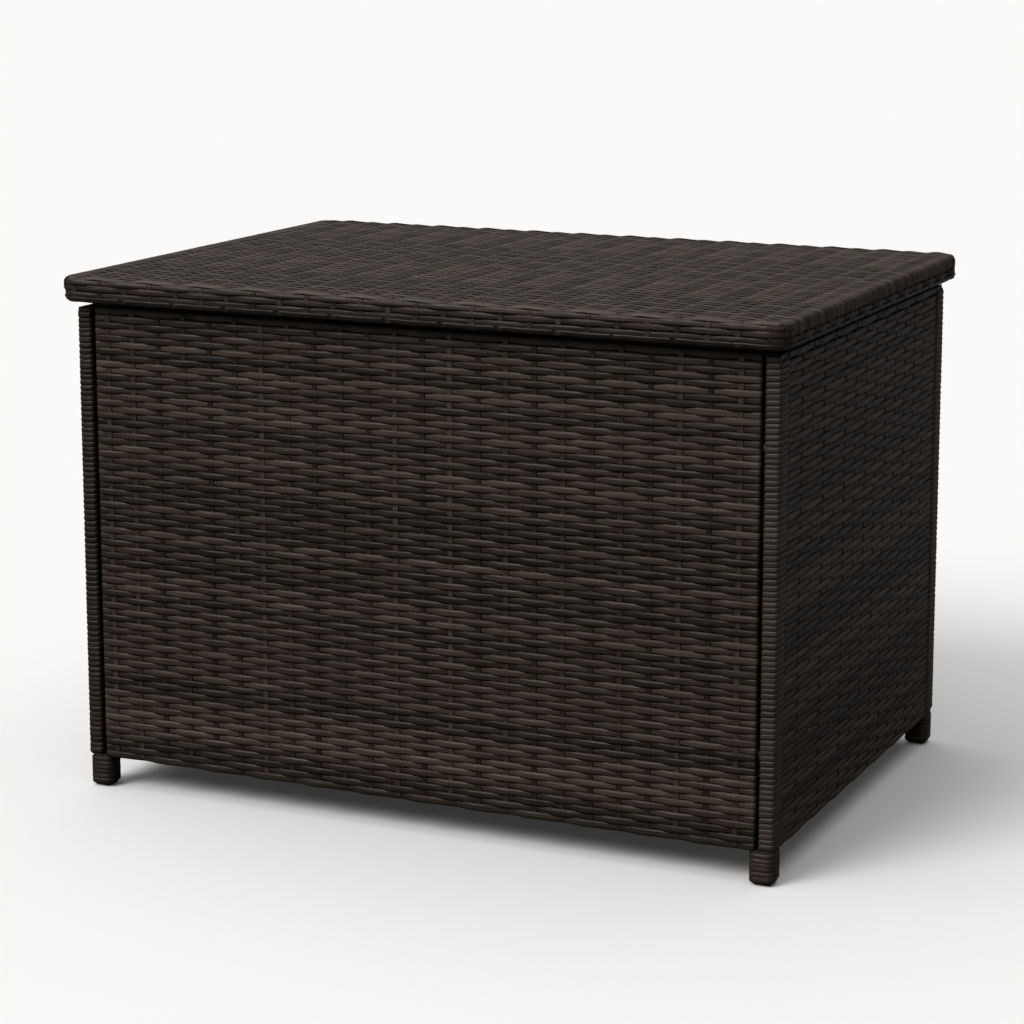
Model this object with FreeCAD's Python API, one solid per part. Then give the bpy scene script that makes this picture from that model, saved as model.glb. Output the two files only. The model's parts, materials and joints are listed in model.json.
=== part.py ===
"""Wicker deck storage box with a hinged, overhanging lid held open by two gas struts.

Frame: +Z up, +X to the box's right, the front faces -Y. The origin is on the ground, under the centre of
the box. All sizes are in millimetres. The box is flat-packed: two side frames with the legs, a front and a
back panel bolted between the legs, a floor panel and a lid. Each frame is welded steel tube with plastic
wicker woven over it. The weaves are plain skins here.
"""

import FreeCAD
import Part
import math
import os

# Driving dimensions of the box.
BODY_W = 905.0
BODY_D = 626.0
PANEL_BOTTOM = 41.0
BODY_TOP = 608.5
LID_GAP = 5.0
LID_T = 33.0
LID_OVER_X = 14.0
LID_OVER_Y = 22.0

# Steel tube sections, and the skins of wicker over them.
WALL = 1.2
TUBE_R = 2.0
TUBE = 20.0
LEG_TUBE_X = 15.0
LEG_TUBE_Y = 25.0
RAIL_H = 25.0
LID_TUBE = 25.0
WRAP_T = 2.2
SKIN_T = 5.0
FOLD_T = 3.0
LID_RIM_T = 4.0
LEG_TOP_ROUND = 12.0

# Legs and feet.
FOOT_W = 31.4
FOOT_ROUND = 8.5
FOOT_CORNER = 9.0
FOOT_TIP = 2.5
SPIGOT_H = 30.0
CLEAR = 0.5

# The groove between each leg and the front or back panel, and the bolts across it.
GROOVE = 4.0
BOLT_R = 3.0
BOLT_HOLE_R = 3.1
BOLT_HEAD_R = 5.0
BOLT_HEAD_T = 4.0
BOLT_LENGTH = 34.0
BOLT_HEIGHTS = (150.0, 500.0)
SPACER_R = 7.0

# Floor panel.
FLOOR_Z = 46.0
FLOOR_SKIN_T = 4.0
FLOOR_BAR_X = (-216.0, 0.0, 216.0)
LEDGE_T = 2.0
LEDGE_L = 30.0

# Side stiles, and the lid's cross bars.
SIDE_STILE_Y = 220.0
LID_BAR_X = (-392.0, -131.0, 131.0, 392.0)
LID_CORNER = 24.0
LID_TOP_ROUND = 9.0
LID_LOW_ROUND = 6.0

# Butt hinges in the gap behind the back panel.
HINGE_X = 280.0
HINGE_L = 60.0
HINGE_AXIS_Y = BODY_D / 2 + 3.5
HINGE_AXIS_Z = BODY_TOP + LID_GAP / 2
KNUCKLE_R = 2.3
KNUCKLE_GAP = 0.3
KNUCKLES = 5
PIN_R = 1.25
PIN_HOLE_R = 1.3
PIN_HEAD_R = 1.9
PIN_HEAD_T = 0.6
LEAF_T = 1.4
LEAF_IN = 24.5
LEAF_OUT = 12.5
SCREW_R = 1.9
SCREW_HOLE_R = 2.0
SCREW_HEAD_R = 3.0
SCREW_HEAD_T = 1.2
SCREW_L = 12.0

# Gas struts: (y, z) of the lower pivot, and of the upper pivot with the lid closed.
STRUT_X = 418.0
STRUT_LOW = (220.0, 428.0)
STRUT_HIGH = (262.0, 602.0)
STRUT_R = 7.5
STRUT_WALL = 1.2
STRUT_START = 12.0
STRUT_LENGTH = 106.0
STRUT_CAP = 5.0
ROD_R = 3.0
ROD_HOLE_R = 3.05
PISTON_AT = 26.0
PISTON_T = 6.0
PISTON_R = 6.2
EYE_R = 6.5
EYE_T = 10.0
STUD_R = 3.0
STUD_HOLE_R = 3.05
STUD_GAP = 0.5
BRACKET_T = 2.5
BRACKET_W = 25.0
BRACKET_H = 40.0

# Pads on the side frames that the closed lid lands on.
PAD_R = 5.0
PAD_T = 4.8
PAD_X = 443.0
PAD_Y = 200.0

# Places that follow from the sizes above.
HALF_W = BODY_W / 2
HALF_D = BODY_D / 2
LEG_W = LEG_TUBE_X + 2 * WRAP_T
LEG_D = LEG_TUBE_Y + 2 * WRAP_T
PANEL_HALF = HALF_W - LEG_W - GROOVE
STILE_OUT = PANEL_HALF - FOLD_T
RAIL_LOW = PANEL_BOTTOM + FOLD_T
RAIL_TOP = BODY_TOP - FOLD_T
PANEL_FACE = HALF_D - SKIN_T
PANEL_BACK = PANEL_FACE - TUBE
SIDE_FACE = HALF_W - SKIN_T
SIDE_BACK = SIDE_FACE - LEG_TUBE_X
LEG_IN_Y = HALF_D - LEG_D
LID_Z0 = BODY_TOP + LID_GAP
LID_Z1 = LID_Z0 + LID_T
LID_HALF_W = HALF_W + LID_OVER_X
LID_HALF_D = HALF_D + LID_OVER_Y
LID_TUBE_Z0 = LID_Z0 + FOLD_T
LID_TUBE_Z1 = LID_TUBE_Z0 + LID_TUBE
LID_IN_D = LID_HALF_D - LID_RIM_T - LID_TUBE
SIDES = {"left": -1, "right": 1}
ENDS = {"front": -1, "rear": 1}


def v(x, y, z):
    return FreeCAD.Vector(x, y, z)


def box(x0, x1, y0, y1, z0, z1):
    """A plain block between two corners, given in any order."""
    low = v(min(x0, x1), min(y0, y1), min(z0, z1))
    return Part.makeBox(abs(x1 - x0), abs(y1 - y0), abs(z1 - z0), low)


def rod(start, direction, length, radius):
    return Part.makeCylinder(radius, length, v(*start), v(*direction))


def join(solids):
    return Part.makeCompound(solids)


def fuse(solids):
    first, rest = solids[0], solids[1:]
    return first.multiFuse(rest).removeSplitter() if rest else first


def rounded_block(x0, x1, y0, y1, z0, z1, radius, along):
    """A block with its four long edges rounded; along is the axis that they run in."""
    block = box(x0, x1, y0, y1, z0, z1)
    index = "xyz".index(along)

    def runs_along(edge):
        ends = [vertex.Point for vertex in edge.Vertexes]
        span = [abs(ends[0][i] - ends[1][i]) for i in range(3)]
        return span[index] > max(span[(index + 1) % 3], span[(index + 2) % 3])

    edges = [edge for edge in block.Edges if runs_along(edge)]
    return block.makeFillet(radius, edges)


def tube(x0, x1, y0, y1, z0, z1, along):
    """A steel box tube that is open at both ends."""
    grow = {axis: (0.0 if axis == along else WALL) for axis in "xyz"}
    outer = rounded_block(x0, x1, y0, y1, z0, z1, TUBE_R, along)
    inner = rounded_block(
        min(x0, x1) + grow["x"],
        max(x0, x1) - grow["x"],
        min(y0, y1) + grow["y"],
        max(y0, y1) - grow["y"],
        z0 + grow["z"],
        z1 - grow["z"],
        TUBE_R - WALL,
        along,
    )
    return outer.cut(inner)


def rounded_plan(half_x, half_y, radius, z0, z1):
    return rounded_block(-half_x, half_x, -half_y, half_y, z0, z1, radius, "z")


def loop_edges(shape, z):
    """The edges of a shape that lie level at height z."""
    return [e for e in shape.Edges if all(abs(p.Point.z - z) < 1e-6 for p in e.Vertexes)]


def save(shape, node):
    shape.exportStep("parts/" + node + ".step")
    print(node, len(shape.Solids), "solids", round(shape.Volume), "mm3")


# Legs and side frames.


def bolt_holes(radius):
    """One long cutter for each pair of bolts that cross the groove beside a leg."""
    reach = LEG_W + GROOVE + FOLD_T + TUBE
    cutters = []
    for side in SIDES.values():
        for end in ENDS.values():
            for height in BOLT_HEIGHTS:
                start = (side * (HALF_W - WRAP_T - WALL * 2), end * (PANEL_BACK + TUBE / 2), height)
                cutters.append(rod(start, (-side, 0, 0), reach, radius))
    return join(cutters)


def leg_tube(side, end):
    outer_x = side * (HALF_W - WRAP_T)
    outer_y = end * (HALF_D - WRAP_T)
    top = BODY_TOP - LEG_TOP_ROUND + FOLD_T
    inner_x = outer_x - side * LEG_TUBE_X
    inner_y = outer_y - end * LEG_TUBE_Y
    return tube(outer_x, inner_x, outer_y, inner_y, PANEL_BOTTOM, top, "z").cut(bolt_holes(BOLT_HOLE_R))


def foot_form(side, end, inset):
    """The foot's rounded block: its outside face with no inset, its plastic core with the wrap's inset."""
    x0 = side * (HALF_W - inset)
    x1 = side * (HALF_W - FOOT_W + inset)
    y0 = end * (HALF_D - inset)
    y1 = end * (HALF_D - LEG_D + inset)
    block = rounded_block(x0, x1, y0, y1, 0, PANEL_BOTTOM, FOOT_CORNER - inset, "z")
    return block.makeFillet(FOOT_ROUND - inset, loop_edges(block, 0))


def foot(side, end):
    """A plastic foot with a spigot that plugs into the leg's tube."""
    gap = WRAP_T + WALL + CLEAR / 2
    spigot = box(
        side * (HALF_W - gap),
        side * (HALF_W - LEG_W + gap),
        end * (HALF_D - gap),
        end * (HALF_D - LEG_D + gap),
        PANEL_BOTTOM,
        PANEL_BOTTOM + SPIGOT_H,
    )
    return fuse([foot_form(side, end, WRAP_T), spigot])


def leg_wrap(side, end):
    """The strand wound round the leg and the foot, down to just above the foot's tip."""
    x0 = side * HALF_W
    x1 = side * (HALF_W - LEG_W)
    y0 = end * HALF_D
    y1 = end * LEG_IN_Y
    sleeve = rounded_block(x0, x1, y0, y1, PANEL_BOTTOM, BODY_TOP, TUBE_R + WRAP_T, "z")
    sleeve = round_leg_top(sleeve, side)
    core_top = BODY_TOP - LEG_TOP_ROUND + FOLD_T
    core = box(
        side * (HALF_W - WRAP_T),
        side * (HALF_W - WRAP_T - LEG_TUBE_X),
        end * (HALF_D - WRAP_T),
        end * (HALF_D - WRAP_T - LEG_TUBE_Y),
        PANEL_BOTTOM,
        core_top,
    )
    foot_shell = foot_form(side, end, 0).cut(foot_form(side, end, WRAP_T))
    tip = box(x0, x1 - side * FOOT_W, y0, y1, 0, FOOT_TIP)
    wrap = fuse([sleeve.cut(core), foot_shell.cut(tip)])
    tube_y = y1 + end * WRAP_T
    rails = [box(side * SIDE_FACE, side * SIDE_BACK, y1, tube_y, z, z + RAIL_H) for z in rail_heights()]
    return wrap.cut(join(rails)).cut(bolt_holes(BOLT_HOLE_R))


def round_leg_top(sleeve, side):
    """Rounds the leg's top outer corner, where the strand turns over the end of the tube."""
    centre_x = side * (HALF_W - LEG_TOP_ROUND)
    centre_z = BODY_TOP - LEG_TOP_ROUND
    corner = box(centre_x, side * (HALF_W + 1), -HALF_D - 1, HALF_D + 1, centre_z, BODY_TOP + 1)
    barrel = rod((centre_x, -HALF_D - 1, centre_z), (0, 1, 0), BODY_D + 2, LEG_TOP_ROUND)
    return sleeve.cut(corner.cut(barrel))


def rail_heights():
    return (RAIL_LOW, RAIL_TOP - RAIL_H)


def side_rail(side, z0):
    reach = HALF_D - WRAP_T - LEG_TUBE_Y
    return tube(side * SIDE_FACE, side * SIDE_BACK, -reach, reach, z0, z0 + RAIL_H, "y")


def side_stiles():
    stiles = []
    for side in SIDES.values():
        for y in (-SIDE_STILE_Y, SIDE_STILE_Y):
            y0, y1 = y - LEG_TUBE_Y / 2, y + LEG_TUBE_Y / 2
            z0, z1 = RAIL_LOW + RAIL_H, RAIL_TOP - RAIL_H
            stiles.append(tube(side * SIDE_FACE, side * SIDE_BACK, y0, y1, z0, z1, "z"))
    return stiles


def side_weave(side):
    """The side's wicker skin, folded over its top and bottom rails."""
    reach = LEG_IN_Y - CLEAR
    skin = box(side * HALF_W, side * SIDE_BACK, -reach, reach, PANEL_BOTTOM, BODY_TOP)
    hollow = box(side * SIDE_FACE, side * SIDE_BACK, -reach, reach, RAIL_LOW, RAIL_TOP)
    return round_outer_edges(skin, "x", side * HALF_W).cut(hollow)


def round_outer_edges(skin, axis, at):
    """Rounds the level edges of a skin's outer face, the face at one value of x or y."""
    edges = []
    for edge in skin.Edges:
        points = [vertex.Point for vertex in edge.Vertexes]
        on_face = all(abs(getattr(p, axis) - at) < 1e-6 for p in points)
        level = abs(points[0].z - points[1].z) < 1e-6
        if on_face and level:
            edges.append(edge)
    return skin.makeFillet(SKIN_T - 1, edges)


# Front and back panels.


def panel_rail(end, z0):
    return tube(-STILE_OUT, STILE_OUT, end * PANEL_FACE, end * PANEL_BACK, z0, z0 + TUBE, "x")


def panel_stiles(end):
    stiles = []
    for centre in (-STILE_OUT + TUBE / 2, 0, STILE_OUT - TUBE / 2):
        x0, x1 = centre - TUBE / 2, centre + TUBE / 2
        y0, y1 = end * PANEL_FACE, end * PANEL_BACK
        stiles.append(tube(x0, x1, y0, y1, RAIL_LOW + TUBE, RAIL_TOP - TUBE, "z"))
    return join(stiles).cut(bolt_holes(BOLT_HOLE_R))


def panel_weave(end):
    """A panel's wicker skin, folded over its rails and round its outer stiles."""
    skin = box(-PANEL_HALF, PANEL_HALF, end * HALF_D, end * PANEL_BACK, PANEL_BOTTOM, BODY_TOP)
    face = [e for e in skin.Edges if all(abs(p.Point.y - end * HALF_D) < 1e-6 for p in e.Vertexes)]
    skin = skin.makeFillet(SKIN_T - 1, face)
    hollow = box(-STILE_OUT, STILE_OUT, end * PANEL_FACE, end * PANEL_BACK, RAIL_LOW, RAIL_TOP)
    return skin.cut(hollow).cut(bolt_holes(BOLT_HOLE_R))


def bolt_places():
    for side in SIDES.values():
        for end in ENDS.values():
            for height in BOLT_HEIGHTS:
                yield side, end * (PANEL_BACK + TUBE / 2), height


def panel_bolts():
    """Bolts from inside the box, through the panel's end stile and into the leg."""
    bolts = []
    for side, y, z in bolt_places():
        seat = side * (STILE_OUT - TUBE)
        shank = rod((seat, y, z), (side, 0, 0), BOLT_LENGTH, BOLT_R)
        head = rod((seat, y, z), (-side, 0, 0), BOLT_HEAD_T, BOLT_HEAD_R)
        bolts.append(fuse([shank, head]))
    return join(bolts)


def panel_spacers():
    """Plastic rings on the bolts that hold the groove open."""
    rings = []
    for side, y, z in bolt_places():
        start = (side * PANEL_HALF, y, z)
        ring = rod(start, (side, 0, 0), GROOVE, SPACER_R)
        rings.append(ring.cut(rod(start, (side, 0, 0), GROOVE, BOLT_HOLE_R)))
    return join(rings)


# Floor panel.


def floor_rails():
    y_out = PANEL_BACK - CLEAR
    y_in = y_out - TUBE
    z0, z1 = FLOOR_Z, FLOOR_Z + TUBE
    return join([tube(-SIDE_BACK, SIDE_BACK, end * y_out, end * y_in, z0, z1, "x") for end in ENDS.values()])


def floor_bars():
    reach = PANEL_BACK - CLEAR - TUBE
    z0, z1 = FLOOR_Z, FLOOR_Z + TUBE
    return join([tube(x - TUBE / 2, x + TUBE / 2, -reach, reach, z0, z1, "y") for x in FLOOR_BAR_X])


def floor_weave():
    reach_x, reach_y = SIDE_BACK - CLEAR, PANEL_BACK - CLEAR
    z0 = FLOOR_Z + TUBE
    return box(-reach_x, reach_x, -reach_y, reach_y, z0, z0 + FLOOR_SKIN_T)


def floor_ledges():
    """Flat plates under the floor rails' ends, welded to the side frames' bottom rails."""
    ledges = []
    for side in SIDES.values():
        for end in ENDS.values():
            y_mid = end * (PANEL_BACK - CLEAR - TUBE / 2)
            x_out = side * SIDE_BACK
            y0, y1 = y_mid - TUBE / 2, y_mid + TUBE / 2
            ledges.append(box(x_out, x_out - side * LEDGE_L, y0, y1, FLOOR_Z - LEDGE_T, FLOOR_Z))
    return join(ledges)


# Lid.


def lid_ring():
    """The lid's rectangle of bent tube, hollow all the way round."""
    half_x, half_y = LID_HALF_W - LID_RIM_T, LID_HALF_D - LID_RIM_T
    corner = LID_CORNER - LID_RIM_T
    outer = rounded_plan(half_x, half_y, corner, LID_TUBE_Z0, LID_TUBE_Z1)
    inner = rounded_plan(half_x - LID_TUBE, half_y - LID_TUBE, TUBE_R, LID_TUBE_Z0, LID_TUBE_Z1)
    z0, z1 = LID_TUBE_Z0 + WALL, LID_TUBE_Z1 - WALL
    void = rounded_plan(half_x - WALL, half_y - WALL, corner - WALL, z0, z1)
    shift = LID_TUBE - WALL
    island = rounded_plan(half_x - shift, half_y - shift, TUBE_R + WALL, z0, z1)
    return outer.cut(inner).cut(void.cut(island))


def lid_frame_pieces():
    """The ring cut into front and rear tubes, bent at their ends, and two straight side tubes."""
    ring = lid_ring().cut(lid_screw_holes())
    far = LID_HALF_W + 1
    cut_y = LID_IN_D - TUBE_R
    z0, z1 = LID_Z0, LID_Z1
    return {
        "lid_frame_front": ring.common(box(-far, far, -LID_HALF_D - 1, -cut_y, z0, z1)),
        "lid_frame_rear": ring.common(box(-far, far, cut_y, LID_HALF_D + 1, z0, z1)),
        "lid_frame_left": ring.common(box(-far, 0, -cut_y, cut_y, z0, z1)),
        "lid_frame_right": ring.common(box(0, far, -cut_y, cut_y, z0, z1)),
    }


def lid_bars():
    z0, z1 = LID_TUBE_Z1 - TUBE, LID_TUBE_Z1
    bars = [tube(x - TUBE / 2, x + TUBE / 2, -LID_IN_D, LID_IN_D, z0, z1, "y") for x in LID_BAR_X]
    return join(bars).cut(lid_bracket_holes())


def lid_weave():
    """The lid's wicker skin: top, rounded rim, and an edge turned under the frame."""
    skin = rounded_plan(LID_HALF_W, LID_HALF_D, LID_CORNER, LID_Z0, LID_Z1)
    skin = skin.makeFillet(LID_TOP_ROUND, loop_edges(skin, LID_Z1))
    skin = skin.makeFillet(LID_LOW_ROUND, loop_edges(skin, LID_Z0))
    half_x, half_y = LID_HALF_W - LID_RIM_T, LID_HALF_D - LID_RIM_T
    hollow = rounded_plan(half_x, half_y, LID_CORNER - LID_RIM_T, LID_TUBE_Z0, LID_TUBE_Z1)
    mouth = rounded_plan(half_x - LID_TUBE, half_y - LID_TUBE, TUBE_R, LID_Z0 - 1, LID_TUBE_Z0 + 1)
    return skin.cut(hollow).cut(mouth).cut(lid_screw_holes())


def lid_pads():
    pads = []
    for x in (-PAD_X, PAD_X):
        for y in (-PAD_Y, PAD_Y):
            pads.append(rod((x, y, BODY_TOP), (0, 0, 1), PAD_T, PAD_R))
    return join(pads)


# Hinges.


def knuckle_spans(owner):
    """The x ranges, about the hinge's middle, of the knuckles that belong to one leaf."""
    pitch = HINGE_L / KNUCKLES
    first = 0 if owner == "body" else 1
    for i in range(first, KNUCKLES, 2):
        start = -HINGE_L / 2 + i * pitch
        yield start + KNUCKLE_GAP / 2, start + pitch - KNUCKLE_GAP / 2


def hinge_leaf(side, owner):
    """One leaf: the body's lies forward on the back panel, the lid's lies rearward under the lid."""
    centre = side * HINGE_X
    turn = -1 if owner == "body" else 1
    z0 = BODY_TOP if owner == "body" else LID_Z0 - LEAF_T
    length = LEAF_IN if owner == "body" else LEAF_OUT
    clear = KNUCKLE_R + CLEAR
    pieces = [
        box(
            centre - HINGE_L / 2,
            centre + HINGE_L / 2,
            HINGE_AXIS_Y + turn * clear,
            HINGE_AXIS_Y + turn * length,
            z0,
            z0 + LEAF_T,
        )
    ]
    for x0, x1 in knuckle_spans(owner):
        y0, y1 = HINGE_AXIS_Y, HINGE_AXIS_Y + turn * (clear + 1)
        pieces.append(box(centre + x0, centre + x1, y0, y1, z0, z0 + LEAF_T))
        pieces.append(rod((centre + x0, HINGE_AXIS_Y, HINGE_AXIS_Z), (1, 0, 0), x1 - x0, KNUCKLE_R))
    bore = rod((centre - HINGE_L / 2, HINGE_AXIS_Y, HINGE_AXIS_Z), (1, 0, 0), HINGE_L, PIN_HOLE_R)
    holes = body_screw_holes() if owner == "body" else lid_screw_holes()
    return fuse(pieces).cut(bore).cut(holes)


def hinge_pin(side):
    start = side * HINGE_X - HINGE_L / 2
    pin = rod((start, HINGE_AXIS_Y, HINGE_AXIS_Z), (1, 0, 0), HINGE_L, PIN_R)
    low = rod((start, HINGE_AXIS_Y, HINGE_AXIS_Z), (-1, 0, 0), PIN_HEAD_T, PIN_HEAD_R)
    high = rod((start + HINGE_L, HINGE_AXIS_Y, HINGE_AXIS_Z), (1, 0, 0), PIN_HEAD_T, PIN_HEAD_R)
    return fuse([pin, low, high])


def hinge_screw_xs():
    return [side * HINGE_X + shift for side in SIDES.values() for shift in (-HINGE_L / 3, 0, HINGE_L / 3)]


def screw(seat, direction):
    """A pan-head screw: its head stands on the seat, its shank goes the way of direction."""
    back = tuple(-c for c in direction)
    shank = rod(seat, direction, SCREW_L, SCREW_R)
    return fuse([shank, rod(seat, back, SCREW_HEAD_T, SCREW_HEAD_R)])


def screw_hole(seat, direction):
    return rod(seat, direction, SCREW_L, SCREW_HOLE_R)


def body_screw_seats():
    """Hinge screws go down into the back panel's top rail, strut bracket screws out into the side stiles."""
    y = HINGE_AXIS_Y - LEAF_IN + (PANEL_FACE - PANEL_BACK) / 2
    seats = [((x, y, BODY_TOP + LEAF_T), (0, 0, -1)) for x in hinge_screw_xs()]
    for side in SIDES.values():
        for shift in (-BRACKET_H / 3, BRACKET_H / 3):
            seats.append(((side * (SIDE_BACK - BRACKET_T), STRUT_LOW[0], STRUT_LOW[1] + shift), (side, 0, 0)))
    return seats


def hinge_lid_seats():
    y = HINGE_AXIS_Y + (KNUCKLE_R + LEAF_OUT) / 2
    return [((x, y, LID_Z0 - LEAF_T), (0, 0, 1)) for x in hinge_screw_xs()]


def bracket_lid_seats():
    seats = []
    z = LID_TUBE_Z1 - TUBE / 2
    for side in SIDES.values():
        x = side * (lid_bracket_face() + BRACKET_T)
        for shift in (-BRACKET_W / 4, BRACKET_W / 4):
            seats.append(((x, STRUT_HIGH[0] + shift, z), (-side, 0, 0)))
    return seats


def body_screw_holes():
    return join([screw_hole(seat, way) for seat, way in body_screw_seats()])


def lid_screw_holes():
    return join([screw_hole(seat, way) for seat, way in hinge_lid_seats()])


def lid_bracket_holes():
    return join([screw_hole(seat, way) for seat, way in bracket_lid_seats()])


def body_screws():
    return join([screw(seat, way) for seat, way in body_screw_seats()])


def lid_screws():
    return join([screw(seat, way) for seat, way in hinge_lid_seats() + bracket_lid_seats()])


# Gas struts.


def lid_bracket_face():
    return max(LID_BAR_X) + TUBE / 2


def strut_lean():
    """The closed strut's lean from upright towards the rear, in degrees, and its length between pivots."""
    dy, dz = STRUT_HIGH[0] - STRUT_LOW[0], STRUT_HIGH[1] - STRUT_LOW[1]
    return math.degrees(math.atan2(dy, dz)), math.hypot(dy, dz)


def place_strut(shape, side):
    """Stands a strut piece, made upright on the origin, on its lower pivot and leans it."""
    lean, _ = strut_lean()
    shape.rotate(v(0, 0, 0), v(1, 0, 0), -lean)
    shape.translate(v(side * STRUT_X, *STRUT_LOW))
    return shape


def eye(z):
    """A flat round end fitting whose hole runs along x."""
    return rod((-EYE_T / 2, 0, z), (1, 0, 0), EYE_T, EYE_R)


def strut_cylinder(side):
    outer = rod((0, 0, STRUT_START), (0, 0, 1), STRUT_LENGTH, STRUT_R)
    depth = STRUT_LENGTH - 2 * STRUT_CAP
    inner = rod((0, 0, STRUT_START + STRUT_CAP), (0, 0, 1), depth, STRUT_R - STRUT_WALL)
    mouth = rod((0, 0, STRUT_START + STRUT_CAP), (0, 0, 1), STRUT_LENGTH, ROD_HOLE_R)
    return place_strut(outer.cut(inner).cut(mouth), side)


def strut_cylinder_end(side):
    neck = rod((0, 0, 0), (0, 0, 1), STRUT_START, EYE_T / 2 - CLEAR)
    hole = rod((-EYE_T, 0, 0), (1, 0, 0), 2 * EYE_T, STUD_HOLE_R)
    return place_strut(fuse([eye(0), neck]).cut(hole), side)


def strut_rod(side):
    _, length = strut_lean()
    shaft = rod((0, 0, PISTON_AT), (0, 0, 1), length - STRUT_START - PISTON_AT, ROD_R)
    piston = rod((0, 0, PISTON_AT), (0, 0, 1), PISTON_T, PISTON_R)
    return place_strut(fuse([shaft, piston]), side)


def strut_rod_end(side):
    _, length = strut_lean()
    neck = rod((0, 0, length - STRUT_START), (0, 0, 1), STRUT_START, EYE_T / 2 - CLEAR)
    return place_strut(fuse([eye(length), neck]), side)


def strut_body_bracket(side):
    """A plate on the side stile's inner face, with the stud that the strut turns on."""
    y, z = STRUT_LOW
    face = side * SIDE_BACK
    stud_length = SIDE_BACK - STRUT_X + EYE_T / 2
    plate = rounded_block(
        face, face - side * BRACKET_T, y - BRACKET_W / 2, y + BRACKET_W / 2,
        z - BRACKET_H / 2, z + BRACKET_H / 2, BRACKET_T, "x",
    )
    stud = rod((face, y, z), (-side, 0, 0), stud_length, STUD_R)
    return fuse([plate, stud]).cut(body_screw_holes())


def strut_lid_bracket(side):
    """A plate on the lid bar's outer side, with a stud that stops just short of the rod's end fitting."""
    y, z = STRUT_HIGH
    face = side * lid_bracket_face()
    stud_length = STRUT_X - EYE_T / 2 - STUD_GAP - lid_bracket_face()
    plate = rounded_block(
        face, face + side * BRACKET_T, y - BRACKET_W / 2, y + BRACKET_W / 2,
        z - EYE_R, LID_TUBE_Z1 - 1, BRACKET_T, "x",
    )
    stud = rod((face, y, z), (side, 0, 0), stud_length, STUD_R)
    return fuse([plate, stud]).cut(lid_bracket_holes())


def make_side(name, side):
    save(side_rail(side, RAIL_TOP - RAIL_H), name + "_top_rail")
    save(side_weave(side), name + "_weave")
    save(hinge_leaf(side, "body"), "hinge_body_leaf_" + name)
    save(hinge_leaf(side, "lid"), "hinge_lid_leaf_" + name)
    save(hinge_pin(side), "hinge_pin_" + name)
    save(strut_cylinder(side), "strut_cylinder_" + name)
    save(strut_cylinder_end(side), "strut_cylinder_end_" + name)
    save(strut_rod(side), "strut_rod_" + name)
    save(strut_rod_end(side), "strut_rod_end_" + name)
    save(strut_body_bracket(side), "strut_body_bracket_" + name)
    save(strut_lid_bracket(side), "strut_lid_bracket_" + name)


def make_panel(name, end):
    top_rail = panel_rail(end, RAIL_TOP - TUBE)
    skin = panel_weave(end)
    if name == "back":
        top_rail = top_rail.cut(body_screw_holes())
        skin = skin.cut(body_screw_holes())
    save(top_rail, name + "_top_rail")
    save(panel_rail(end, RAIL_LOW), name + "_bottom_rail")
    save(panel_stiles(end), name + "_stiles")
    save(skin, name + "_weave")


def main():
    os.makedirs("parts", exist_ok=True)
    for end_name, end in ENDS.items():
        for side_name, side in SIDES.items():
            corner = end_name + "_" + side_name
            save(leg_tube(side, end), "leg_" + corner)
            save(foot(side, end), "foot_" + corner)
            save(leg_wrap(side, end), "leg_wrap_" + corner)
    for name, side in SIDES.items():
        make_side(name, side)
    save(join([side_rail(side, RAIL_LOW) for side in SIDES.values()]), "side_bottom_rails")
    save(join(side_stiles()).cut(body_screw_holes()), "side_stiles")
    make_panel("front", -1)
    make_panel("back", 1)
    save(panel_bolts(), "panel_bolts")
    save(panel_spacers(), "panel_spacers")
    save(floor_rails(), "floor_rails")
    save(floor_bars(), "floor_bars")
    save(floor_weave(), "floor_weave")
    save(floor_ledges(), "floor_ledges")
    for name, piece in lid_frame_pieces().items():
        save(piece, name)
    save(lid_bars(), "lid_bars")
    save(lid_weave(), "lid_weave")
    save(lid_pads(), "lid_pads")
    save(body_screws(), "body_screws")
    save(lid_screws(), "lid_screws")


main()
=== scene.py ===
# %% [markdown]
# # A woven storage box for a deck
# This lesson builds the looks of a wicker box round a finished steel and plastic frame. The frame
# comes first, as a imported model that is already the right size, and nothing below moves it. What
# Blender adds is the wicker itself: hundreds of flat plastic strands that pass over and under each
# other. A skin with a bump map would be quicker, but its outline stays straight and its holes never
# open, so here each strand is a real mesh.

# %% Load the frame
import json
import math
import random

import bpy
from mathutils import Matrix, Vector


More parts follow.
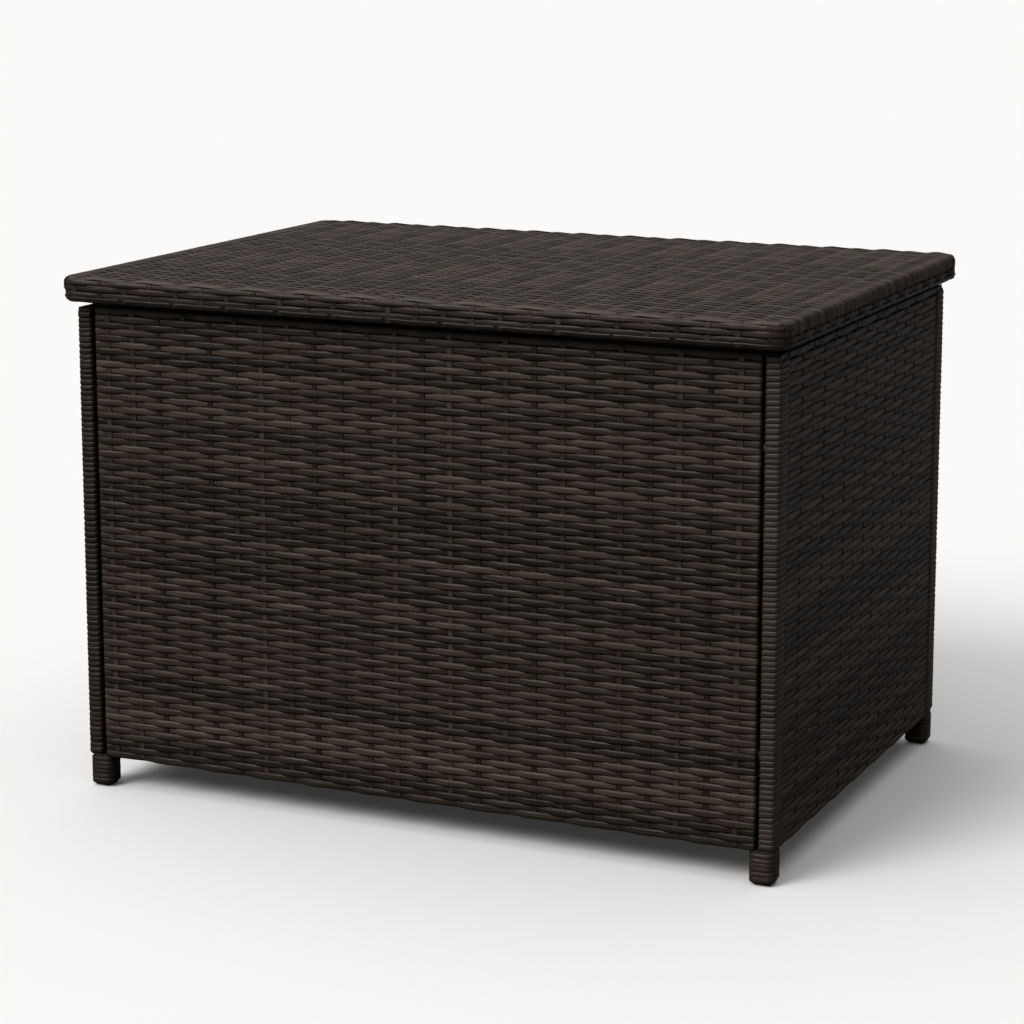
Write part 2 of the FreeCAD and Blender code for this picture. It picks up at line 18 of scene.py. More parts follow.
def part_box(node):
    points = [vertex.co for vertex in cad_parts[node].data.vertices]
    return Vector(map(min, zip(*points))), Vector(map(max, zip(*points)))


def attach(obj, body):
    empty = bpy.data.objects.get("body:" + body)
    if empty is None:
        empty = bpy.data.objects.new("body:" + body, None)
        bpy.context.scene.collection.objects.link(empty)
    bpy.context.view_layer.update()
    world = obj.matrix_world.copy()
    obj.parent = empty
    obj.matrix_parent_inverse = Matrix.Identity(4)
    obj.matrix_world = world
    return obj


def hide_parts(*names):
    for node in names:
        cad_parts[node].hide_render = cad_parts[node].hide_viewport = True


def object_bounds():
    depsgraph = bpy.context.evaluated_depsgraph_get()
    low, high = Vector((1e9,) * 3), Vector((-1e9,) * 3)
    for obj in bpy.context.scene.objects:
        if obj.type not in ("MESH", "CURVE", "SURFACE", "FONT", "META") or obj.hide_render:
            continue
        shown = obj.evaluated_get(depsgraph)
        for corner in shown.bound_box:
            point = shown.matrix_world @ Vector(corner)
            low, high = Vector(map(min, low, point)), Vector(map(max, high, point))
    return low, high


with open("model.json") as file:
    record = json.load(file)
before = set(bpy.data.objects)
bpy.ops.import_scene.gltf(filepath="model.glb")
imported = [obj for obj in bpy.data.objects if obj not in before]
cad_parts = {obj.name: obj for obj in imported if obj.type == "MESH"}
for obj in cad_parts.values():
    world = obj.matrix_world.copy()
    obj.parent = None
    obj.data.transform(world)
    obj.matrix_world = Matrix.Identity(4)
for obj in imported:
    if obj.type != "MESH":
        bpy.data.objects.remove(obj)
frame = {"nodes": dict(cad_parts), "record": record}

FRAME_LOW, FRAME_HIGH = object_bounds()
MM = 0.001
for title, corner in (("low", FRAME_LOW), ("high", FRAME_HIGH)):
    print("frame box,", title, "corner in metres:", tuple(round(c, 4) for c in corner))

# %% [markdown]
# ## One class for every node
# Node trees are long-winded in code: each sum needs a node, two links and a result. This class
# wraps one socket and gives it Python's operators, so that `1 - wave * 0.5` adds the Math nodes by
# itself. Any other node comes from `node`, which sets the node's own choices first, because some
# of them change which sockets it has, and then its values or links.


# %% The wire class
class Wire:
    """One output socket of a node tree that can be used in Python expressions."""

    def __init__(self, tree, socket=None):
        self.tree = tree
        self.socket = socket

    def node(self, kind, settings=None, inputs=None, out=0):
        """Adds a node; inputs are named or numbered sockets, given a value or a Wire."""
        made = self.tree.nodes.new(kind)
        for name, value in (settings or {}).items():
            setattr(made, name, value)
        for key, value in (inputs or {}).items():
            if isinstance(value, Wire):
                self.tree.links.new(value.socket, made.inputs[key])
            else:
                made.inputs[key].default_value = value
        return Wire(self.tree, made.outputs[out])

    def output(self, name):
        """Another output of the node that this wire comes from."""
        return Wire(self.tree, self.socket.node.outputs[name])

    def maths(self, operation, *values):
        return self.node("ShaderNodeMath", {"operation": operation}, dict(enumerate(values)))

    def vector(self, operation, *values):
        return self.node("ShaderNodeVectorMath", {"operation": operation}, dict(enumerate(values)))

    def noise(self, detail, scale=1.0):
        """Noise read at this place."""
        values = {"Vector": self, "Scale": scale, "Detail": detail}
        return self.node("ShaderNodeTexNoise", None, values)

    def scaled(self, factor):
        """A vector times a number."""
        settings = {"operation": "SCALE"}
        return self.node("ShaderNodeVectorMath", settings, {"Vector": self, "Scale": factor})

    def xyz(self, x=0.0, y=0.0, z=0.0):
        return self.node("ShaderNodeCombineXYZ", None, {"X": x, "Y": y, "Z": z})

    def parts(self):
        x = self.node("ShaderNodeSeparateXYZ", None, {0: self})
        return x, x.output("Y"), x.output("Z")

    def smooth(self, low, high, start=0.0, end=1.0):
        """Eases from start to end while this value goes from low to high."""
        values = {"Value": self, "From Min": low, "From Max": high, "To Min": start, "To Max": end}
        return self.node("ShaderNodeMapRange", {"interpolation_type": "SMOOTHSTEP"}, values)

    def __add__(self, other):
        return self.maths("ADD", self, other)

    def __radd__(self, other):
        return self.maths("ADD", other, self)

    def __sub__(self, other):
        return self.maths("SUBTRACT", self, other)

    def __rsub__(self, other):
        return self.maths("SUBTRACT", other, self)

    def __mul__(self, other):
        return self.maths("MULTIPLY", self, other)

    def __rmul__(self, other):
        return self.maths("MULTIPLY", other, self)

    def __pow__(self, other):
        return self.maths("POWER", self, other)


# %% [markdown]
# ## The strand's plastic
# The strand is polyethylene, pushed hot through a die. The die leaves fine lines along it, and the
# maker colours it a dark brown that is never quite the same from one reel to the next. The die
# lines follow the strand round every bend, so the material reads an attribute that the strand's own
# nodes store: the distance along it, the distance across it, and a number for each strand.


# %% A material and its shader
def new_material(name):
    """An empty material, a Wire for building in it, and its Principled shader."""
    material = bpy.data.materials.new(name)
    material.use_nodes = True
    shader = material.node_tree.nodes["Principled BSDF"]
    return material, Wire(material.node_tree), shader


def join_up(wire, shader, links):
    for name, value in links.items():
        wire.tree.links.new(value.socket, shader.inputs[name])


def ramp(wire, factor, stops):
    """Colours by factor; stops are (place, colour) pairs in linear values."""
    made = wire.node("ShaderNodeValToRGB", None, {"Fac": factor})
    band = made.socket.node.color_ramp
    while len(band.elements) < len(stops):
        band.elements.new(0.5)
    for element, (place, colour) in zip(band.elements, stops):
        element.position = place
        element.color = (*colour, 1.0)
    return made


# Marks along, across and from strand to strand: the fine die lines, and the slow patches.
LINE_MARKS = (18.0, 800.0, 40.0)
PATCH_MARKS = (9.0, 60.0, 17.0)
DIE_LINE_DEPTH = 0.0006
STRAND_SHINE = 0.23
STRAND_ROUGHNESS = 0.37


def strand_plastic(name, stops, roughness):
    """Dark brown plastic with die lines, a tint for each strand and slow patches along it."""
    material, wire, shader = new_material(name)
    place = wire.node("ShaderNodeAttribute", {"attribute_name": "strand"}, None, "Vector")
    measured = place.parts()
    fine = wire.xyz(*[value * marks for value, marks in zip(measured, LINE_MARKS)])
    lines = fine.noise(3.0)
    patch = wire.xyz(*[value * marks for value, marks in zip(measured, PATCH_MARKS)])
    patches = patch.noise(2.0)
    own = measured[2]
    tone = own * 0.34 + patches * 0.33 + lines * 0.33
    colour = ramp(wire, tone, stops)
    rough = roughness + (lines - 0.5) * 0.22 + (patches - 0.5) * 0.10
    relief = wire.node(
        "ShaderNodeBump", None, {"Strength": 1.0, "Distance": DIE_LINE_DEPTH, "Height": lines}
    )
    join_up(wire, shader, {"Base Color": colour, "Roughness": rough, "Normal": relief})
    shader.inputs["Specular IOR Level"].default_value = STRAND_SHINE
    return material


STRAND_STOPS = [
    (0.28, (0.0130, 0.0088, 0.0060)),
    (0.42, (0.0270, 0.0186, 0.0128)),
    (0.55, (0.0440, 0.0308, 0.0216)),
    (0.70, (0.0740, 0.0530, 0.0385)),
]
STRAND = strand_plastic("strand_plastic", STRAND_STOPS, STRAND_ROUGHNESS)
print("made", STRAND.name)

# %% [markdown]
# ## One node tree for every strand
# A row, a stake and the strand round a leg are the same thing: a flat strand that follows a guide
# line. So one tree makes them all. The guide is a line of points with three values at each point:
# how far along the line it is (`run`), how many stakes it has passed (`beat`), and how freely the
# strand may weave there (`gate`). The tree makes a closed cylinder, repeats it once for each
# strand, and then moves each vertex: along the guide, out by the weave's wave, and across by the
# strand's own section. Copies side by side are half a wave apart, which is plain weave. The wave
# leans to one side, by the value `Skew`, because a strand rises steeply out of the hole that it is
# pushed through and sinks slowly into the next.


# %% The strand tree
STRAND_INPUTS = [
    ("Guide", "NodeSocketGeometry", None),
    ("Strands", "NodeSocketInt", 1),
    ("Pitch", "NodeSocketFloat", 0.008),
    ("First", "NodeSocketFloat", 0.0),
    ("Stacking", "NodeSocketVector", (0.0, 0.0, 1.0)),
    ("Tilt", "NodeSocketFloat", 0.0),
    ("Steps", "NodeSocketInt", 10),
    ("Sides", "NodeSocketInt", 8),
    ("Half width over", "NodeSocketFloat", 0.0043),
    ("Half width under", "NodeSocketFloat", 0.0031),
    ("Half thickness", "NodeSocketFloat", 0.0008),
    ("Lift", "NodeSocketFloat", 0.0016),
    ("Beat shift", "NodeSocketFloat", 0.0),
    ("Skew", "NodeSocketFloat", 0.7),
    ("Grooves", "NodeSocketFloat", 0.0),
    ("Flatness", "NodeSocketFloat", 2.6),
    ("Wander", "NodeSocketFloat", 0.0003),
    ("Corner start", "NodeSocketFloat", 10.0),
    ("Corner radius", "NodeSocketFloat", 0.0),
    ("Corner reach", "NodeSocketFloat", 1.0),
    ("Seed", "NodeSocketInt", 1),
    ("Plastic", "NodeSocketMaterial", None),
]


def strand_mesh(wire, given):
    """One closed cylinder for each strand; each carries its number in the attribute `row`."""
    line = {"Count": given["Strands"], "Offset": (0.0, 0.0, 0.0)}
    points = wire.node("GeometryNodeMeshLine", None, line)
    number = wire.node("GeometryNodeInputIndex")
    values = {"Geometry": points, "Name": "row", "Value": number}
    points = wire.node("GeometryNodeStoreNamedAttribute", {"data_type": "FLOAT"}, values)
    sizes = {"Vertices": given["Sides"], "Side Segments": given["Steps"]}
    sizes.update({"Radius": 1.0, "Depth": 1.0})
    cylinder = wire.node("GeometryNodeMeshCylinder", {"fill_type": "NGON"}, sizes)
    pair = {"Points": points, "Instance": cylinder}
    copies = wire.node("GeometryNodeInstanceOnPoints", None, pair)
    return wire.node("GeometryNodeRealizeInstances", None, {"Geometry": copies})


def guide_value(wire, guide, name, index):
    field = wire.node("GeometryNodeInputNamedAttribute", {"data_type": "FLOAT"}, {"Name": name})
    values = {"Geometry": guide, "Value": field, "Index": index}
    return wire.node("GeometryNodeSampleIndex", {"data_type": "FLOAT", "domain": "POINT"}, values)


def section(wire, x, y, grooves, flatness):
    """How far across and how high, both -1 to 1, a vertex of the cylinder sits on the strand."""
    bounded = wire.maths("MINIMUM", wire.maths("MAXIMUM", x, -1.0), 1.0)
    across = wire.maths("ARCSINE", bounded) * (2 / math.pi)
    fall = 1.0 - wire.maths("ABSOLUTE", across) ** flatness
    crown = wire.maths("SQRT", wire.maths("MAXIMUM", fall, 0.0))
    groove = 1.0 - grooves * (0.5 - 0.5 * wire.maths("COSINE", across * (3 * math.pi)))
    return across, wire.maths("SIGN", y) * crown * groove


# How far from their ends, in metres, the outermost rows begin to be pulled in, and are in full.
TRIM_FROM, TRIM_FULL = 0.08, 0.02


def corner_trim(wire, place, offset, given):
    """Pulls in the ends of the outermost rows, where their outline has round corners."""
    beyond = wire.maths("MAXIMUM", wire.maths("ABSOLUTE", offset) - given["Corner start"], 0.0)
    radius = given["Corner radius"]
    inner = wire.maths("SQRT", wire.maths("MAXIMUM", radius * radius - beyond * beyond, 0.0))
    x, y, z = place.parts()
    size = wire.maths("ABSOLUTE", x)
    reach = given["Corner reach"]
    near_end = size.smooth(reach - TRIM_FROM, reach - TRIM_FULL)
    trimmed = size - (radius - inner) * near_end
    return wire.xyz(wire.maths("SIGN", x) * trimmed, y, z)


# A strand sways and swells slowly; the three rates are along it, from row to row and by seed.
SWAY_RATES = (9.0, 3.7, 5.3)
SWELL_RATES = (16.0, 2.9, 7.1)
SWELL_START = 31.0
WIDTH_PER_WANDER = 400.0
MARK_SHIFT = 0.37


def build_strand_tree():
    """The tree: first the values at a vertex, then its place on the strand and in the weave."""
    tree = bpy.data.node_groups.new("woven_strands", "GeometryNodeTree")
    for name, kind, value in STRAND_INPUTS:
        socket = tree.interface.new_socket(name, in_out="INPUT", socket_type=kind)
        if value is not None:
            socket.default_value = value
    tree.interface.new_socket("Strands made", in_out="OUTPUT", socket_type="NodeSocketGeometry")
    wire = Wire(tree)
    entry = wire.node("NodeGroupInput")
    given = {name: entry.output(name) for name, _, _ in STRAND_INPUTS}

    mesh = strand_mesh(wire, given)
    row = wire.node("GeometryNodeInputNamedAttribute", {"data_type": "FLOAT"}, {"Name": "row"})
    x, y, z = wire.node("GeometryNodeInputPosition").parts()
    index = wire.maths("ROUND", (z + 0.5) * given["Steps"])
    guide = given["Guide"]
    run = guide_value(wire, guide, "run", index)
    beat = guide_value(wire, guide, "beat", index)
    gate = guide_value(wire, guide, "gate", index)

    curve = wire.node("GeometryNodeMeshToCurve", None, {"Mesh": guide})
    here = {"Curves": curve, "Length": run}
    sample = wire.node("GeometryNodeSampleCurve", {"mode": "LENGTH"}, here)
    tangent = sample.output("Tangent")
    sideways = wire.vector("NORMALIZE", wire.vector("CROSS_PRODUCT", tangent, given["Stacking"]))
    cosine, sine = wire.maths("COSINE", given["Tilt"]), wire.maths("SINE", given["Tilt"])
    outward = wire.vector("ADD", sideways.scaled(cosine), given["Stacking"].scaled(sine))
    upward = wire.vector("SUBTRACT", given["Stacking"].scaled(cosine), sideways.scaled(sine))

    turn = (beat + row + given["Beat shift"]) * math.pi
    wave = wire.maths("COSINE", turn + wire.maths("COSINE", turn) * given["Skew"]) * gate
    along, between, shift = SWAY_RATES
    sway = wire.xyz(run * along, row * between, given["Seed"] * shift).noise(1.0)
    along, between, shift = SWELL_RATES
    drift = wire.xyz(run * along, row * between + SWELL_START, given["Seed"] * shift)
    swell = drift.noise(1.0) - 0.5
    wander = (sway - 0.5) * given["Wander"] * 2.0
    share = wave * 0.5 + 0.5
    span = given["Half width over"] - given["Half width under"]
    uneven = 1.0 + swell * given["Wander"] * WIDTH_PER_WANDER
    half_width = (given["Half width under"] + span * share) * uneven
    across, height = section(wire, x, y, given["Grooves"], given["Flatness"])
    offset = given["First"] + row * given["Pitch"]
    rise = wave * given["Lift"] + height * given["Half thickness"] + swell * given["Wander"]
    base = wire.vector("ADD", sample.output("Position"), given["Stacking"].scaled(offset))
    place = wire.vector("ADD", base, upward.scaled(across * half_width + wander))
    place = wire.vector("ADD", place, outward.scaled(rise))
    place = corner_trim(wire, place, offset, given)

    dice = {7: row, 8: given["Seed"]}
    chance = wire.node("FunctionNodeRandomValue", {"data_type": "FLOAT"}, dice, 1)
    marks = wire.xyz(run + row * MARK_SHIFT, across * half_width, chance)
    values = {"Geometry": mesh, "Name": "strand", "Value": marks}
    mesh = wire.node("GeometryNodeStoreNamedAttribute", {"data_type": "FLOAT_VECTOR"}, values)
    mesh = wire.node("GeometryNodeSetPosition", None, {"Geometry": mesh, "Position": place})
    mesh = wire.node("GeometryNodeSetShadeSmooth", None, {"Geometry": mesh})
    mesh = wire.node("GeometryNodeRealizeInstances", None, {"Geometry": mesh})
    look = {"Geometry": mesh, "Material": given["Plastic"]}
    mesh = wire.node("GeometryNodeSetMaterial", None, look)
    leave = tree.nodes.new("NodeGroupOutput")
    tree.links.new(mesh.socket, leave.inputs[0])
    return tree


STRAND_TREE = build_strand_tree()
print("the strand tree has", len(STRAND_TREE.nodes), "nodes")

# %% [markdown]
# ## Guide lines
# A guide is given as a few corner points, and this cell rounds its corners and cuts its
# straight runs into equal steps. A row needs short steps, about six to a stake, because it waves
# all the way. A stake is straight between its bends, so it gets steps only in the bends.


# %% Guide lines from corner points
def rounded_line(corners, radii, step, bend_steps=4):
    """Points along a path whose inner corners have radii; straight runs are cut to step."""
    points = [Vector(corners[0])]
    for before, corner, after, radius in zip(corners, corners[1:], corners[2:], radii):
        corner = Vector(corner)
        arrive = (corner - Vector(before)).normalized()
        leave = (Vector(after) - corner).normalized()
        turn = arrive.angle(leave)
        trim = radius * math.tan(turn / 2)
        start = corner - arrive * trim
        centre = start + (leave - arrive * arrive.dot(leave)).normalized() * radius
        arm = start - centre
        add_run(points, start, step)
        axis = arrive.cross(leave).normalized()
        for k in range(1, bend_steps + 1):
            points.append(centre + Matrix.Rotation(turn * k / bend_steps, 3, axis) @ arm)
    add_run(points, Vector(corners[-1]), step)
    return points


def add_run(points, end, step):
    start = points[-1]
    count = max(1, round((end - start).length / step))
    for k in range(1, count + 1):
        points.append(start.lerp(end, k / count))


def guide_object(name, points, beat=None, gate=None):
    """A line object whose points carry run, beat and gate for the strand tree."""
    mesh = bpy.data.meshes.new(name)
    edges = [(k, k + 1) for k in range(len(points) - 1)]
    mesh.from_pydata([tuple(p) for p in points], edges, [])
    runs = [0.0]
    for a, b in zip(points, points[1:]):
        runs.append(runs[-1] + (b - a).length)
    beats = [beat(p) if beat else 0.0 for p in points]
    gates = [gate(p) if gate else 0.0 for p in points]
    for title, values in (("run", runs), ("beat", beats), ("gate", gates)):
        mesh.attributes.new(title, "FLOAT", "POINT").data.foreach_set("value", values)
    made = bpy.data.objects.new(name, mesh)
    bpy.context.scene.collection.objects.link(made)
    return made


def ease(value, low, high):
    share = min(1.0, max(0.0, (value - low) / (high - low)))
    return share * share * (3 - 2 * share)


# %% [markdown]
# ## From nodes to plain mesh
# The nodes stay live only long enough to make the strands. The finished shape is copied into a
# plain mesh, the line object goes away, and strands that belong to one piece are joined.


# %% Making strands and joining them
INPUT_ID = {s.name: s.identifier for s in STRAND_TREE.interface.items_tree if s.in_out == "INPUT"}


def strands(guide, **sizes):
    """Runs the strand tree on a guide and returns the plain mesh; sizes are the tree's inputs."""
    steps = len(guide.data.vertices) - 1
    modifier = guide.modifiers.new("woven_strands", "NODES")
    modifier.node_group = STRAND_TREE
    chosen = {"Steps": steps, "Plastic": STRAND}
    for key, value in sizes.items():
        chosen[key.replace("_", " ").capitalize()] = value
    for name, value in chosen.items():
        modifier[INPUT_ID[name]] = value
    seen = guide.evaluated_get(bpy.context.evaluated_depsgraph_get())
    mesh = bpy.data.meshes.new_from_object(seen)
    line = guide.data
    bpy.data.objects.remove(guide)
    bpy.data.meshes.remove(line)
    return mesh


def piece(name, meshes, body, replaces=None):
    """Joins meshes into one named piece that rides on a body of the frame."""
    objects = []
    for mesh in meshes:
        made = bpy.data.objects.new(name, mesh)
        bpy.context.scene.collection.objects.link(made)
        objects.append(made)
    if len(objects) > 1:
        with bpy.context.temp_override(active_object=objects[0], selected_editable_objects=objects):
            bpy.ops.object.join()
    made = objects[0]
    made.name = made.data.name = name
    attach(made, body)
    if replaces:
        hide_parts(replaces)
    faces = sum(len(p.vertices) - 2 for p in made.data.polygons)
    print(f"{name}: {faces} triangles")


# %% [markdown]
# ## Sizes that the weave takes from the frame
# Every strand is placed from the frame's own boxes. Rows are 8 mm apart. The stakes, the straps
# that run the other way, are about 35 mm apart on the front and 39 mm apart on the sides.


# %% Sizes of the weave
FRONT_LOW, FRONT_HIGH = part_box("front_weave")
SIDE_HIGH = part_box("right_weave")[1]
LID_LOW, LID_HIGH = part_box("lid_weave")
FLOOR_LOW, FLOOR_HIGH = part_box("floor_weave")
PANEL_HALF = FRONT_HIGH.x
SIDE_HALF = SIDE_HIGH.y
PANEL_Z0, PANEL_Z1 = FRONT_LOW.z, FRONT_HIGH.z
FACE_Y = -FRONT_LOW.y
FACE_X = SIDE_HIGH.x
SKIN_MIDDLE = 2.5 * MM
ROWS = 70
BORDER_HALF = 5.2 * MM
ROW_PITCH = (PANEL_Z1 - PANEL_Z0 - 2 * BORDER_HALF - 1 * MM) / ROWS
ROW_STEP = 5.9 * MM
STAKES = 24
STAKE_PITCH = 35.49 * MM
FIRST_STAKE = -PANEL_HALF + 18 * MM
SIDE_STAKES = 13
SIDE_PITCH = (2 * SIDE_HALF - 100 * MM) / (SIDE_STAKES - 1)
FIRST_SIDE_STAKE = -SIDE_HALF + 48 * MM
ROW_TURN, ROW_BEND, STRAP_BEND = 0.95 * MM, 2.2 * MM, 3.0 * MM
STRAP_LOW, STRAP_HIGH = PANEL_Z0 + 1.6 * MM, PANEL_Z1 - 1.5 * MM
UP = Vector((0, 0, 1))
ALONG_X, ALONG_Y = (1.0, 0.0, 0.0), (0.0, 1.0, 0.0)
STAKE = {"sides": 24, "half_width_over": 3.6 * MM, "half_width_under": 3.6 * MM, "grooves": 0.75}
STAKE.update(half_thickness=1.0 * MM, lift=0.0, wander=0.0, flatness=8.0)
print("rows every", round(ROW_PITCH / MM, 2), "mm")
print("side stakes every", round(SIDE_PITCH / MM, 2), "mm")

# %% [markdown]
# ## The four woven walls
# Each wall is woven flat. Each row goes round the end of the wall and is tucked behind it, and the
# topmost row is a wider border. Each stake goes over the top rail and under the bottom one. Two more
# rows cover each rail's edge. All four walls are the same job at different sizes, so one class holds
# the directions of a wall seen from outside: `across` to the right, `out` towards the viewer.


# %% A wall's directions and its strands
class Wall:
    def __init__(self, out, face, half, first, pitch, stakes, fold, row):
        self.out = Vector(out)
        self.across = UP.cross(self.out)
        self.face = face
        self.half = half
        self.first = first
        self.pitch = pitch
        self.stakes = stakes
        self.fold = fold
        self.row = row

    def at(self, across, depth, height):
        return self.across * across + self.out * (self.face - depth) + UP * height

    def beat(self, point):
        return (point.dot(self.across) - self.first) / self.pitch

    def gate(self, point):
        """The weave is free between the ends, and tight on the way round the end of the wall."""
        at_face = ease(point.dot(self.out), self.face - 4 * MM, self.face - SKIN_MIDDLE)
        return at_face * ease(self.half - abs(point.dot(self.across)), 3 * MM, 12 * MM)

    def rows(self, tuck, seed):
        turn = self.half - ROW_TURN
        face = SKIN_MIDDLE
        corners = [(-turn, tuck, 0), (-turn, face, 0), (turn, face, 0), (turn, tuck, 0)]
        line = rounded_line([self.at(*corner) for corner in corners], [ROW_BEND] * 2, ROW_STEP)
        rows = strands(
            guide_object("row_guide", line, self.beat, self.gate),
            strands=ROWS, pitch=ROW_PITCH, first=PANEL_Z0 + ROW_PITCH / 2,
            stacking=UP, seed=seed, **self.row,
        )
        border = strands(
            guide_object("border_guide", line, self.beat, self.gate),
            first=PANEL_Z1 - BORDER_HALF - 0.4 * MM,
            stacking=UP, beat_shift=float(ROWS), seed=seed + 30, **{**self.row, **BORDER},
        )
        return [rows, border]

    def straps(self, seed):
        low, high, face = STRAP_LOW, STRAP_HIGH, SKIN_MIDDLE
        corners = [(0, self.fold, high), (0, face, high), (0, face, low), (0, self.fold, low)]
        line = rounded_line([self.at(*corner) for corner in corners], [STRAP_BEND] * 2, 1.0)
        return strands(
            guide_object("stake_guide", line),
            strands=self.stakes, pitch=self.pitch, first=self.first,
            stacking=self.across, seed=seed, **STAKE,
        )

    def edge_rows(self, height, facing, seed):
        """Two rows that cover the top (facing 1) or the bottom (facing -1) of a rail."""
        reach = self.half - 2 * MM
        depth = 8.5 * MM
        ends = [self.at(-reach, depth, height), self.at(reach, depth, height)]
        line = rounded_line(ends, [], ROW_STEP)
        spread = self.fold - depth - 4 * MM
        guide = guide_object("edge_guide", line, self.beat, lambda p: 1.0)
        return strands(
            guide, strands=2, pitch=spread, first=0.0 if facing > 0 else -spread,
            stacking=self.out * -facing, seed=seed, **EDGE_ROW,
        )


def row_sizes(over, under, lift, thick=0.9, **more):
    """A row's sizes for the tree; the lengths are given in millimetres."""
    sizes = {"half_width_over": over * MM, "half_width_under": under * MM}
    sizes.update(half_thickness=thick * MM, lift=lift * MM)
    return {**sizes, **more}


ROW = row_sizes(4.7, 4.35, 1.5)
FLAT_ROW = row_sizes(4.25, 4.0, 1.1)
SIDE_ROW = row_sizes(4.4, 4.3, 0.8, flatness=5.0)
LID_ROW = row_sizes(4.6, 4.4, 1.25)
BACK_ROW = row_sizes(4.65, 4.5, 1.0)
EDGE_ROW = row_sizes(4.3, 3.6, 0.7, thick=0.65)
BORDER = {"half_width_over": BORDER_HALF, "half_width_under": BORDER_HALF - 0.5 * MM}
LONG = {"half": PANEL_HALF, "first": FIRST_STAKE, "pitch": STAKE_PITCH, "stakes": STAKES}
LONG.update(fold=21 * MM, row=ROW)
SHORT = {"half": SIDE_HALF, "first": FIRST_SIDE_STAKE, "pitch": SIDE_PITCH, "stakes": SIDE_STAKES}
SHORT.update(fold=18 * MM, row=SIDE_ROW)
WALLS = {
    "front": (Wall((0, -1, 0), FACE_Y, **LONG), 22 * MM),
    "back": (Wall((0, 1, 0), FACE_Y, **{**LONG, "row": BACK_ROW}), 22 * MM),
    "right": (Wall((1, 0, 0), FACE_X, **SHORT), 9 * MM),
    "left": (Wall((-1, 0, 0), FACE_X, **SHORT), 9 * MM),
}
for seed, (name, (wall, tuck)) in enumerate(WALLS.items(), start=1):
    piece(f"{name}_rows", wall.rows(tuck, seed), "box", f"{name}_weave")
    top_cover = wall.edge_rows(STRAP_HIGH, 1, seed + 40)
    low_cover = wall.edge_rows(STRAP_LOW, -1, seed + 50)
    piece(f"{name}_stakes", [wall.straps(seed + 20), top_cover, low_cover], "box")

# %% [markdown]
# ## The lid's top
# The lid is woven in one piece over its frame. Its rows run from side to side and turn down over
# both side edges, where they are tucked in halfway down the rim. Near the four corners the outline
# is round, so the outermost rows are a little shorter. Its stakes run from the back to the front,
# down both rims and under the frame.

# %% Lid rows and lid stakes
LID_X, LID_Y = LID_HIGH.x - SKIN_MIDDLE, LID_HIGH.y - SKIN_MIDDLE
LID_MIDDLE = LID_HIGH.z - SKIN_MIDDLE
LID_UNDER = LID_LOW.z + 1.5 * MM
TOP_BEND = 6.5 * MM
LOW_BEND = 3.5 * MM
LID_CORNER = 24 * MM
LID_STAKES = 26
LID_FIRST = FIRST_STAKE + 3.6 * MM - STAKE_PITCH
TOP_ROWS = 81
TOP_FIRST = -(LID_HIGH.y - 9 * MM - 4 * MM)
TOP_PITCH = -2 * TOP_FIRST / (TOP_ROWS - 1)
TUCK_Z = LID_LOW.z + 14 * MM
RIM_STAKES = 25
RIM_FIRST = -(LID_HIGH.y - LID_CORNER)
RIM_PITCH = -2 * RIM_FIRST / (RIM_STAKES - 1)


def lid_beat(point):
    return (point.x - LID_FIRST) / STAKE_PITCH


def lid_top_gate(point):
    on_top = ease(point.z, LID_MIDDLE - 2 * MM, LID_MIDDLE)
    return on_top * ease(LID_X - abs(point.x), 12 * MM, 24 * MM)


corners = [
    (-LID_X + 3 * MM, 0, TUCK_Z - 2 * MM), (-LID_X, 0, TUCK_Z + 3 * MM), (-LID_X, 0, LID_MIDDLE),
    (LID_X, 0, LID_MIDDLE), (LID_X, 0, TUCK_Z + 3 * MM), (LID_X - 3 * MM, 0, TUCK_Z - 2 * MM),
]
line = rounded_line(corners, [2 * MM, TOP_BEND, TOP_BEND, 2 * MM], ROW_STEP)
FRONT_SHARE = (TOP_ROWS + 1) // 2
SHARES = (("front", 0, FRONT_SHARE), ("back", FRONT_SHARE, TOP_ROWS - FRONT_SHARE))
for name, start, count in SHARES:
    mesh = strands(
        guide_object("lid_row_guide", line, lid_beat, lid_top_gate),
        strands=count, pitch=TOP_PITCH, first=TOP_FIRST + start * TOP_PITCH,
        corner_start=LID_HIGH.y - LID_CORNER, corner_radius=LID_CORNER - SKIN_MIDDLE,
        corner_reach=LID_X, stacking=ALONG_Y, beat_shift=float(start), seed=60, **LID_ROW,
    )
    piece(f"lid_top_rows_{name}", [mesh], "lid", "lid_weave" if start == 0 else None)

fold = LID_Y - 22 * MM
corners = [
    (0, fold, LID_UNDER), (0, LID_Y, LID_UNDER), (0, LID_Y, LID_MIDDLE),
    (0, -LID_Y, LID_MIDDLE), (0, -LID_Y, LID_UNDER), (0, -fold, LID_UNDER),
]
line = rounded_line(corners, [LOW_BEND, TOP_BEND, TOP_BEND, LOW_BEND], 1.0)
lid_straps = strands(
    guide_object("lid_stake_guide", line),
    strands=LID_STAKES, pitch=STAKE_PITCH, first=LID_FIRST,
    stacking=ALONG_X, seed=61, **STAKE,
)
side_straps = []
for side in (-1, 1):
    x_fold = LID_X - 22 * MM
    corners = [
        (side * (LID_X - 1.5 * MM), 0, TUCK_Z + 4 * MM), (side * LID_X, 0, TUCK_Z + 1 * MM),
        (side * LID_X, 0, LID_UNDER), (side * x_fold, 0, LID_UNDER),
    ]
    if side < 0:
        corners.reverse()
    line = rounded_line(corners, [1 * MM, LOW_BEND] if side > 0 else [LOW_BEND, 1 * MM], 1.0)
    side_straps.append(strands(
        guide_object("rim_stake_guide", line),
        strands=RIM_STAKES, pitch=RIM_PITCH, first=RIM_FIRST,
        stacking=ALONG_Y, seed=62, **STAKE,
    ))
piece("lid_stakes", [lid_straps, *side_straps], "lid")

